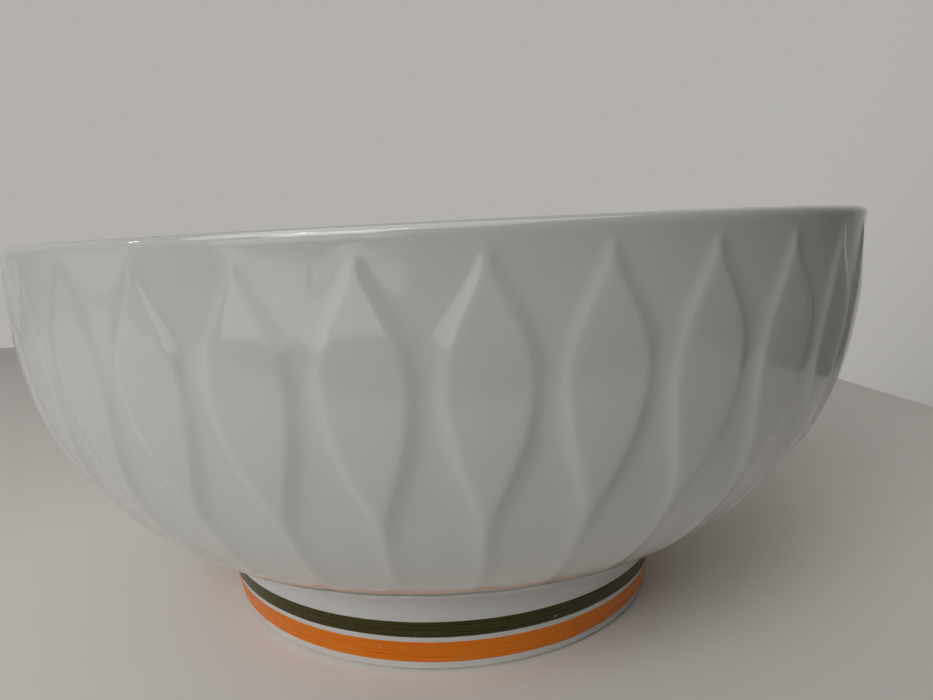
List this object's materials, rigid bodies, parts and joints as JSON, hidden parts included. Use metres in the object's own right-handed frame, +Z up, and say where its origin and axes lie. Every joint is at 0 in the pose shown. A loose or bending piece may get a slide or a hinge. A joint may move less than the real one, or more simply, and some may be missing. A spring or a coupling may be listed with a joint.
{
  "type": "porcelain serving bowl",
  "caption": "Round glazed porcelain serving bowl on a foot ring, with a band of moulded almond leaves on tall stems and two painted bands round the foot.",
  "frame": {"origin": "centre of the bowl on the table it stands on, at the height of the bare foot edge", "axes": "+Z up along the bowl's axis of revolution; -Y is the front, with leaf_01 centred on it"},
  "size_m": [0.2404, 0.2404, 0.112],
  "materials": {
    "white_glaze": "clear gloss glaze over cool white porcelain",
    "bare_porcelain": "unglazed, ground matt edge",
    "orange_enamel": "glossy fired-on enamel",
    "olive_enamel": "glossy fired-on enamel"
  },
  "bodies": {
    "root": {"bowl_body": "white_glaze", "foot_ring": "white_glaze", "foot_land": "bare_porcelain", "orange_band": "orange_enamel", "olive_band": "olive_enamel", "leaf_01": "white_glaze", "leaf_02": "white_glaze", "leaf_03": "white_glaze", "leaf_04": "white_glaze", "leaf_05": "white_glaze", "leaf_06": "white_glaze", "leaf_07": "white_glaze", "leaf_08": "white_glaze", "leaf_09": "white_glaze", "leaf_10": "white_glaze", "leaf_11": "white_glaze", "leaf_12": "white_glaze", "leaf_13": "white_glaze", "leaf_14": "white_glaze", "leaf_15": "white_glaze", "leaf_16": "white_glaze", "leaf_17": "white_glaze", "leaf_18": "white_glaze", "leaf_19": "white_glaze", "leaf_20": "white_glaze", "leaf_21": "white_glaze", "leaf_22": "white_glaze", "leaf_23": "white_glaze", "leaf_24": "white_glaze", "leaf_25": "white_glaze", "leaf_26": "white_glaze", "leaf_27": "white_glaze", "leaf_28": "white_glaze", "leaf_29": "white_glaze", "leaf_30": "white_glaze", "leaf_31": "white_glaze", "leaf_32": "white_glaze", "leaf_33": "white_glaze", "leaf_34": "white_glaze", "leaf_35": "white_glaze", "leaf_36": "white_glaze"}
  },
  "joints": []
}
